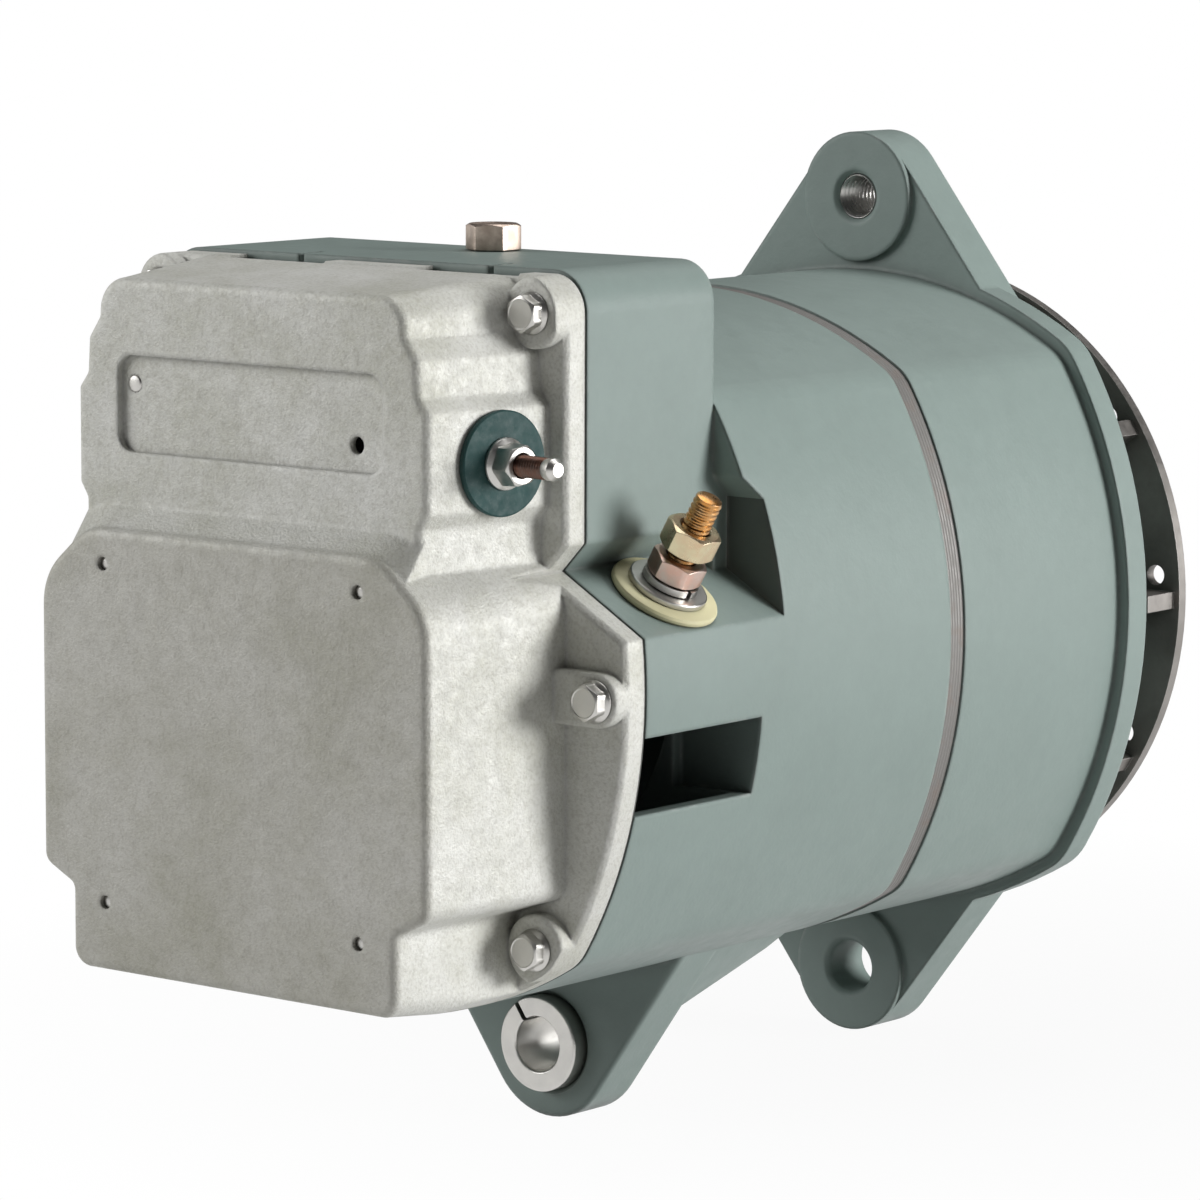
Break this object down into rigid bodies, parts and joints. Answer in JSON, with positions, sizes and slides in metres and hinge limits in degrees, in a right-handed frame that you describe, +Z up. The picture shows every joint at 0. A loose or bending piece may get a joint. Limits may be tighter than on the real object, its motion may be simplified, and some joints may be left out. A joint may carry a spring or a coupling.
{
  "type": "alternator",
  "caption": "Heavy-duty brushless vehicle alternator with hinge and adjusting lugs, a rear cover with a regulator inside, an angled output stud and a front fan.",
  "frame": {"origin": "on the shaft's axis, at the rear end of the pulley seat, which is the front face of the fan hub", "axes": "+Y out of the drive end along the shaft, +Z up through the adjusting lug, +X towards the output terminal's side"},
  "size_m": [0.1594, 0.313, 0.221],
  "materials": {
    "frame_paint": "grey-green paint on cast aluminium",
    "cast_aluminium": "bare cast",
    "machined_steel": "machined",
    "dark_steel": "dark, oiled",
    "zinc_steel": "zinc plated",
    "yellow_zinc_steel": "yellow zinc plated",
    "copper_plate": "copper plated",
    "laminations": "stacked sheet",
    "copper": "varnished copper",
    "bearing_steel": "ground and polished",
    "gasket_black": "matt",
    "teal_plastic": "matt",
    "cream_plastic": "matt",
    "black_plastic": "matt",
    "sink_aluminium": "extruded"
  },
  "bodies": {
    "frame": {"rear_cover": "cast_aluminium", "cover_gasket": "gasket_black", "cover_screws": "zinc_steel", "cover_pins": "zinc_steel", "rear_frame": "frame_paint", "front_frame": "frame_paint", "stator_core": "laminations", "stator_winding": "copper", "phase_leads": "copper", "frame_bolts": "zinc_steel", "field_core": "dark_steel", "field_coil": "copper", "field_core_screws": "dark_steel", "front_bearing_outer_race": "bearing_steel", "front_bearing_shields": "machined_steel", "bearing_retainer": "zinc_steel", "retainer_screws": "dark_steel", "rear_bearing_outer_race": "bearing_steel", "negative_heat_sink": "sink_aluminium", "positive_heat_sink": "sink_aluminium", "rectifier_diodes": "machined_steel", "phase_straps": "copper", "heat_sink_standoffs": "black_plastic", "heat_sink_screws": "zinc_steel", "output_bus_bar": "copper", "output_stud": "yellow_zinc_steel", "output_insulator": "cream_plastic", "output_flat_washer": "zinc_steel", "output_lock_washer": "zinc_steel", "output_lower_nut": "copper_plate", "output_upper_nut": "yellow_zinc_steel", "relay_stud": "copper_plate", "relay_insulator": "teal_plastic", "relay_nut": "zinc_steel", "ground_screw": "copper_plate", "regulator": "black_plastic", "capacitor": "sink_aluminium", "diode_trio": "black_plastic"},
    "rotor": {"rotor_shaft": "machined_steel", "rotor_front_poles": "dark_steel", "rotor_rear_poles": "dark_steel", "rotor_joining_ring": "machined_steel", "front_bearing_inner_race": "bearing_steel", "rear_bearing_inner_race": "bearing_steel", "fan": "zinc_steel", "fan_spacer": "machined_steel"},
    "nut_set": {"shaft_washer": "zinc_steel", "shaft_nut": "zinc_steel"},
    "ball_set": {"front_bearing_balls": "bearing_steel", "front_bearing_cage": "machined_steel"},
    "roller_set": {"rear_bearing_rollers": "bearing_steel", "rear_bearing_cage": "black_plastic"},
    "bushing": {"hinge_bushing": "zinc_steel"}
  },
  "joints": [
    {"name": "rotor_spin", "type": "hinge", "parent": "frame", "child": "rotor", "pos_m": [0, 0, 0], "axis": [0, 1, 0], "continuous": true},
    {"name": "nut_off", "type": "slide", "parent": "rotor", "child": "nut_set", "axis": [0, 1, 0], "range_m": [0, 0.12]},
    {"name": "ball_set_spin", "type": "hinge", "parent": "frame", "child": "ball_set", "pos_m": [0, -0.0435, 0], "axis": [0, 1, 0], "continuous": true},
    {"name": "roller_set_spin", "type": "hinge", "parent": "frame", "child": "roller_set", "pos_m": [0, -0.163, 0], "axis": [0, 1, 0], "continuous": true},
    {"name": "bushing_slide", "type": "slide", "parent": "frame", "child": "bushing", "axis": [0, 1, 0], "range_m": [0, 0.003]}
  ],
  "couplings": [
    {"joint": "ball_set_spin", "follows": "rotor_spin", "ratio": 0.3911},
    {"joint": "roller_set_spin", "follows": "rotor_spin", "ratio": 0.4214}
  ]
}
